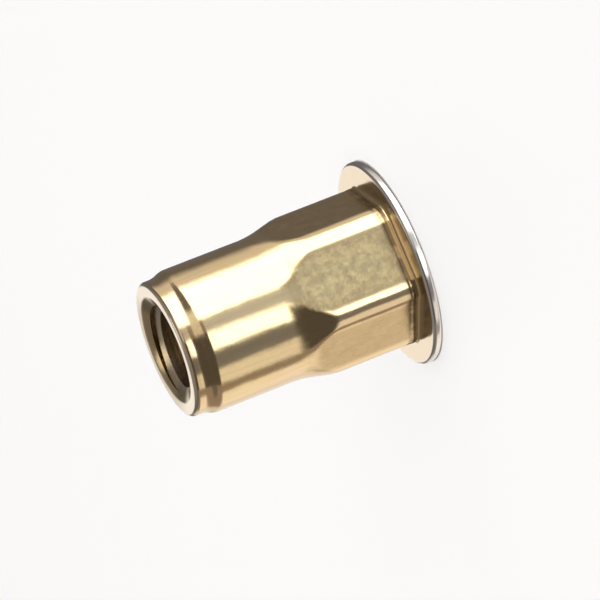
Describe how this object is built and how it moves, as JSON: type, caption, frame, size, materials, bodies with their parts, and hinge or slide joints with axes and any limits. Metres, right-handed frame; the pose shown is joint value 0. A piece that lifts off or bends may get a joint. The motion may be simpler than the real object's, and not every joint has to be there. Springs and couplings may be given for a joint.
{
  "type": "rivet nut",
  "caption": "Half-hexagonal rivet nut: a blind threaded insert with a flat flange, a hexagonal shank that flares down to a round threaded nose, yellow-passivated zinc-plated steel.",
  "frame": {"origin": "centre of the flange's outer face, which the nut stands on", "axes": "+Z along the nut's axis, from the flange towards the nose; two of the flats face along Y"},
  "size_m": [0.0128, 0.0128, 0.015],
  "materials": {
    "plated_steel": "yellow-passivated zinc plating on steel, bright on the round shank and satin on the flats"
  },
  "bodies": {
    "root": {"rivet_nut": "plated_steel"}
  },
  "joints": []
}
